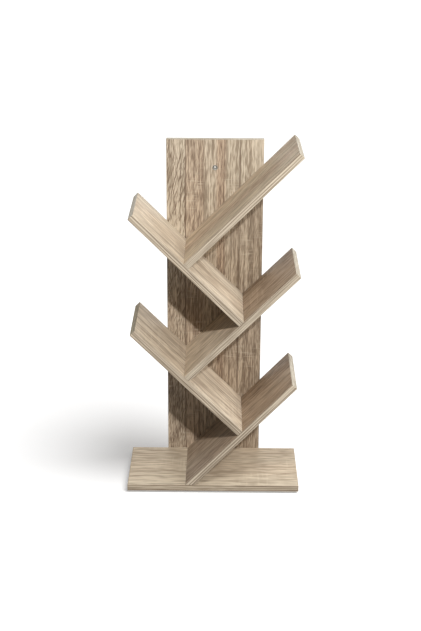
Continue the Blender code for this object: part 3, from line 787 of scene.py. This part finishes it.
# %% Geometry tree: plank blank
def plank_tree():
    """A block from its foot to its length and from its near side to its far side, below its top."""
    tree, given = new_group("plank_blank", "GeometryNodeTree", {
        "Foot": 0.0, "Foot Slope": 0.0, "Length": 0.3, "Near Side": -0.1, "Far Side": 0.1, "Top": 0.0,
        "Thickness": BOARD_THICKNESS, "Finish": "Material"},
        ["Geometry"], "Geometry")
    block = add(tree, "GeometryNodeMeshCube", {"Size": (1.0, 1.0, 1.0)}).outputs["Mesh"]
    position = add(tree, "GeometryNodeInputPosition").outputs[0]
    corner = add(tree, "ShaderNodeSeparateXYZ", {0: position}).outputs
    up = math_node(tree, "SUBTRACT", corner["Z"], 0.5)
    z = product(tree, up, given["Thickness"], given["Top"])
    side = math_node(tree, "ADD", corner["Y"], 0.5)
    depth = math_node(tree, "SUBTRACT", given["Far Side"], given["Near Side"])
    y = product(tree, side, depth, given["Near Side"])
    foot = product(tree, product(tree, z, -1.0), given["Foot Slope"], given["Foot"])
    end = math_node(tree, "ADD", corner["X"], 0.5)
    x = product(tree, end, math_node(tree, "SUBTRACT", given["Length"], foot), foot)
    moved = add(tree, "ShaderNodeCombineXYZ", {"X": x, "Y": y, "Z": z}).outputs[0]
    sawn = add(tree, "GeometryNodeSetPosition", {"Geometry": block, "Position": moved})
    smooth = add(tree, "GeometryNodeSetShadeSmooth", {"Geometry": sawn.outputs[0]})
    put_out(tree, smooth.outputs[0], given)
    return tree


def blank(foot, length, near, far, slope=0.0):
    """The named sizes of one plank's blank."""
    return {"Foot": foot, "Foot Slope": slope, "Length": length, "Near Side": near,
            "Far Side": far, "Thickness": BOARD_THICKNESS}


plank_blank = plank_tree()
print("geometry tree:", plank_blank.name)


# %% [markdown]
# Each plank keeps, for every point, where it lies along the grain, across it and through the board.
# The finish reads this attribute, so that the grain runs up a tilted shelf. A different start for each
# plank keeps two of them from showing the same print. Bands are rounded more than boards.

# %% Cut, round and place a plank
BAND_ARRIS = 0.0004
BOARD_ARRIS = 0.0002


def cut_plank(node, place, sizes, finish, start, crossed=False, arris=BAND_ARRIS, holes=()):
    """One plank or band in the place that the matrix gives, drilled where the holes are. Crossed grain
    runs from side to side."""
    piece = from_tree(node.replace("_board", "_plank") if node.endswith("_board") else node + "_strip",
                      plank_blank, {**sizes, "Finish": finish})
    edges = piece.modifiers.new("rounded edges", "BEVEL")
    edges.width = arris
    edges.segments = 2
    edges.limit_method = "ANGLE"
    edges.harden_normals = not holes
    piece.matrix_world = place
    carve(piece, holes)
    settle(piece)
    piece.matrix_world = Matrix()
    mesh = piece.data
    if holes:
        mesh.shade_flat()
    grain = mesh.attributes.new("grain", "FLOAT_VECTOR", "POINT")
    for point, entry in zip(mesh.vertices, grain.data):
        x, y, z = point.co
        entry.vector = Vector((y, z, x) if crossed else (x, y, z)) + Vector(start)
    from_foot = mesh.attributes.new("from_foot", "FLOAT", "POINT")
    from_foot.data.foreach_set("value", [point.co.x for point in mesh.vertices])
    mesh.transform(place)
    take_over(piece, [node])
    return piece


def board_place(origin, along, out):
    """The matrix that lays a blank's length along one direction and its face to another."""
    across = out.cross(along)
    columns = Matrix((along, across, out)).transposed().to_4x4()
    return Matrix.Translation(origin) @ columns


# %% [markdown]
# ## Shelves
# Each shelf is a board with a band in front, one at the rear and one over its free end. The long bands
# run past the end band, as on the solids. From one shelf to the next a band's print starts a whole
# number of line distances further on, so that its lines stay where they are across the band.

# %% Five shelves
LINE_START = 78.72 * LINE_DISTANCE
LINE_STEP = 104 * LINE_DISTANCE
face_finish = {1: lowest_shelf_oak, 2: pale_shelf_oak, 3: middle_shelf_oak, 4: pale_shelf_oak,
               5: brown_shelf_oak}
inner = BAND_THICKNESS
for number, shelf in enumerate(shelves, start=1):
    name, foot, slope, length = (shelf[key] for key in ("name", "foot_start", "foot_slope", "length"))
    place = board_place(shelf["foot"], shelf["along"], shelf["normal"])
    facing = place.to_3x3().col[1].y
    near, far = sorted((front_y * facing, rear_y * facing))
    cut_plank(f"{name}_board", place, blank(foot, length - inner, near + inner, far - inner, slope),
              face_finish[number], (number * 1.7, number * 0.61, number * 0.37),
              arris=BOARD_ARRIS)
    lows = (near, far - inner) if facing > 0 else (far - inner, near)
    for side, low in zip(("front", "rear"), lows):
        cut_plank(f"{name}_{side}_band", place, blank(foot, length, low, low + inner, slope),
                  band_oak, (number * 2.3, LINE_START, number * LINE_STEP))
    cut_plank(f"{name}_end_band", place, blank(length - inner, length, near + inner, far - inner),
              dark_end_oak if number == 2 else end_oak,
              (number * 3.1, 0.2, number * 0.7), crossed=True)
print("shelves:", len(shelves))

# %% [markdown]
# ## Base plank
# The base lies flat, with its grain from left to right. All four edges are banded. The long bands have
# a browner finish, and their print starts where its lines lie evenly on the front edge.

# %% Base
BASE_LINE_START = (9.4, 0.3, 2.2032)
base_place = board_place(Vector((0, 0, base_top_z)), Vector((1, 0, 0)), Vector((0, 0, 1)))
cut_plank("base_board", base_place,
          blank(-base_half + inner, base_half - inner, front_y + inner, rear_y - inner),
          base_oak, (4.1, 3.3, 0.0), arris=BOARD_ARRIS, holes=[base_holes])
for side, low in (("front", front_y), ("rear", rear_y - inner)):
    cut_plank(f"base_{side}_band", base_place, blank(-base_half, base_half, low, low + inner),
              base_band_oak, BASE_LINE_START)
for side, low in (("left", -base_half), ("right", base_half - inner)):
    cut_plank(f"base_{side}_band", base_place, blank(low, low + inner, front_y + inner, rear_y - inner),
              band_oak, (7.7, 0.5, 1.9), crossed=True)
print("base:", round(2 * base_half, 3), "m wide")

# %% [markdown]
# ## Back panel
# The panel stands upright, with its grain from the floor to the top. Its top band has the pale finish
# of the shelves' ends.

# %% Panel
panel_place = board_place(Vector((0, panel_low.y, panel_low.z)), Vector((0, 0, 1)), Vector((0, -1, 0)))
panel_height = panel_high.z - panel_low.z
cut_plank("back_panel_board", panel_place,
          blank(0.0, panel_height - inner, -panel_half + inner, panel_half - inner),
          panel_oak, (0.0, 0.0, 0.0), arris=BOARD_ARRIS, holes=[panel_holes, wall_hole])
for side, low in (("right", -panel_half), ("left", panel_half - inner)):
    cut_plank(f"back_panel_{side}_band", panel_place, blank(0.0, panel_height, low, low + inner),
              band_oak, (5.2, 0.7, 3.4))
cut_plank("back_panel_top_band", panel_place,
          blank(panel_height - inner, panel_height, -panel_half + inner, panel_half - inner),
          end_oak, (6.6, 0.1, 2.8), crossed=True)
print("panel:", round(panel_height, 3), "m high")


# %% [markdown]
# ## Dowels
# The eight beech dowels stay as the measured solids. They are hidden in the joints, and only get their
# finish.

# %% Dowels
dowels = [node for name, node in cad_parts.items() if "dowel" in name]
for dowel in dowels:
    for slot in dowel.material_slots:
        slot.material = finishes["dowel_wood"]
remove(panel_holes, base_holes, wall_hole)
print("dowels:", len(dowels))

# %% [markdown]
# ## Studio
# The floor is pale and plain. What the camera sees of it and of the background is white, and the
# object's soft shadow stays on it. The world itself gives only a faint warm light.

# %% Floor and background
def seen_directly(tree):
    """1 for the rays that show the background: from the camera, in metal and through glass."""
    path = add(tree, "ShaderNodeLightPath").outputs
    shown = math_node(tree, "MAXIMUM", path["Is Camera Ray"], path["Is Glossy Ray"])
    return math_node(tree, "MAXIMUM", shown, path["Is Transmission Ray"])


AMBIENT = 0.03
FLOOR_GLOW = 0.355
FLOOR_HALF = 16.0
world = bpy.data.worlds.new("studio")
bpy.context.scene.world = world
world.use_nodes = True
tree = world.node_tree
tree.nodes.clear()
soft = add(tree, "ShaderNodeBackground", {"Color": (1, 0.88, 0.76, 1), "Strength": AMBIENT})
white = add(tree, "ShaderNodeBackground", {"Color": (1, 1, 1, 1), "Strength": 1.0})
sky = add(tree, "ShaderNodeMixShader", {0: seen_directly(tree), 1: soft.outputs[0], 2: white.outputs[0]})
add(tree, "ShaderNodeOutputWorld", {"Surface": sky.outputs[0]})

floor_mesh = bpy.data.meshes.new("floor")
corners = [(x * FLOOR_HALF, y * FLOOR_HALF, 0) for x, y in ((-1, -1), (1, -1), (1, 1), (-1, 1))]
floor_mesh.from_pydata(corners, [], [(0, 1, 2, 3)])
floor = new_object("floor", floor_mesh)
floor_paint = bpy.data.materials.new("floor_paint")
floor_paint.use_nodes = True
tree = floor_paint.node_tree
tree.nodes.clear()
matt = add(tree, "ShaderNodeBsdfDiffuse", {"Color": (0.55, 0.55, 0.55, 1)})
shown = add(tree, "ShaderNodeBsdfDiffuse", {"Color": (0.9, 0.9, 0.9, 1)})
glow = add(tree, "ShaderNodeEmission", {"Color": (1, 1, 1, 1), "Strength": FLOOR_GLOW})
bright = add(tree, "ShaderNodeAddShader", {0: shown.outputs[0], 1: glow.outputs[0]})
paint = add(tree, "ShaderNodeMixShader", {
    0: seen_directly(tree), 1: matt.outputs[0], 2: bright.outputs[0]})
add(tree, "ShaderNodeOutputMaterial", {"Surface": paint.outputs[0]})
floor_mesh.materials.append(floor_paint)
print("stage:", world.name, "and", floor.name)

# %% [markdown]
# ## Lamps
# A small lamp in front and a little to the right draws the crisp shadows of the shelves on the panel.
# A strip at the upper left is turned in line with the left-leaning shelves, so that the shadows of
# their front edges stay crisp and the others wash out. Both throw those shadows to the same place.
# Large square lamps fill in from the right and from behind. The floor has a far lamp of its own, and
# light linking keeps each from lighting what the other does.

# %% Lamps
TARGET = Vector((0, 0, 0.4))
LAMP_DISTANCE = 3.63
SOFTBOX = (2.6, 1.3)
WARM = (1.0, 0.92, 0.84)


def towards(azimuth, elevation):
    """The direction to a lamp. Azimuth 0 is in front and 90 to the right, elevation above the floor."""
    turn, tilt = math.radians(azimuth), math.radians(elevation)
    return Vector((math.sin(turn) * math.cos(tilt), -math.cos(turn) * math.cos(tilt), math.sin(tilt)))


def facing_lamp(name, kind, way, distance, energy):
    """A lamp on the line that leaves the bookshelf this way, facing back."""
    light = bpy.data.lights.new(name, kind)
    light.energy = energy
    holder = new_object(name, light)
    holder.location = TARGET + way * distance
    holder.rotation_euler = (-way).to_track_quat("-Z", "Y").to_euler()
    return holder


def lamp(name, azimuth, elevation, distance, size, level):
    """A square lamp. Its level is the share of white that it gives a surface that faces it."""
    holder = facing_lamp(name, "AREA", towards(azimuth, elevation), distance,
                         level * (math.pi * distance) ** 2)
    holder.data.shape = "SQUARE"
    holder.data.size = size
    return holder


def limit(lamps, name, piece, state):
    """The lamps light everything but the piece, or only the piece."""
    group = bpy.data.collections.new(name)
    group.objects.link(piece)
    group.collection_objects[0].light_linking.link_state = state
    for holder in lamps:
        holder.light_linking.receiver_collection = group


def distant_lamp(name, azimuth, elevation, spread, level):
    """A lamp so far off that it lights the whole floor alike, with a shadow as soft as its spread."""
    holder = facing_lamp(name, "SUN", towards(azimuth, elevation), 0.0, level * math.pi)
    holder.data.angle = math.radians(spread)
    return holder


def strip_lamp(name, azimuth, elevation, distance, length, width, level, edge):
    """A long narrow lamp whose length follows an edge's direction, so that this edge's shadows stay
    crisp and those of the other edges wash out."""
    holder = lamp(name, azimuth, elevation, distance, width, level)
    holder.data.shape = "RECTANGLE"
    holder.data.size, holder.data.size_y = length, width
    way = (holder.location - TARGET).normalized()
    long_axis = (edge - way * edge.dot(way)).normalized()
    holder.rotation_euler = Matrix((long_axis, way.cross(long_axis), way)).transposed().to_euler()
    return holder


front_lamp = lamp("front_lamp", 13.0, 32.5, LAMP_DISTANCE, 0.06, 0.48)
upper_left_strip = strip_lamp("upper_left_strip", -20, 50, LAMP_DISTANCE, 1.2, 0.08, 0.50,
                              shelves[1]["along"])
front_right_softbox = lamp("front_right_softbox", 45, 30, *SOFTBOX, 0.29)
right_softbox = lamp("right_softbox", 90, 45, *SOFTBOX, 0.45)
rear_softbox = lamp("rear_softbox", 180, 12, *SOFTBOX, 0.40)
rear_softbox.visible_glossy = False
front_right_softbox.data.color = WARM
floor_lamp = distant_lamp("floor_lamp", 55, 60, 45, 1.06)
limit([front_lamp, upper_left_strip, front_right_softbox, right_softbox, rear_softbox],
      "all_but_floor", floor, "EXCLUDE")
limit([floor_lamp], "only_floor", floor, "INCLUDE")
print("lamps:", len(bpy.data.lights))

# %% [markdown]
# ## Camera
# The camera stands in front of the bookshelf and looks down at it by about twenty degrees, from far
# enough that the lens flattens the shapes a little.

# %% Camera
CAMERA_PLACE = Vector((0.0100, -2.7121, 1.3854))
PITCH = math.radians(-19.915)
YAW = math.radians(0.3848)
ROLL = math.radians(0.2639)
FOCAL_LENGTH = 106.65
SENSOR_WIDTH = 36.0
forward = Vector((-math.sin(YAW) * math.cos(PITCH), math.cos(YAW) * math.cos(PITCH), math.sin(PITCH)))
level_right = Vector((math.cos(YAW), math.sin(YAW), 0))
level_up = level_right.cross(forward)
right = level_right * math.cos(ROLL) + level_up * math.sin(ROLL)
up = level_up * math.cos(ROLL) - level_right * math.sin(ROLL)
lens = bpy.data.cameras.new("camera")
lens.sensor_fit = "HORIZONTAL"
lens.sensor_width = SENSOR_WIDTH
lens.lens = FOCAL_LENGTH
camera = new_object("camera", lens)
turned_view = Matrix((right, up, -forward)).transposed().to_4x4()
camera.matrix_world = Matrix.Translation(CAMERA_PLACE) @ turned_view
bpy.context.scene.camera = camera
bpy.context.scene.view_settings.view_transform = "Standard"
print("camera:", round(-CAMERA_PLACE.y, 2), "m in front and", round(CAMERA_PLACE.z, 2), "m high")
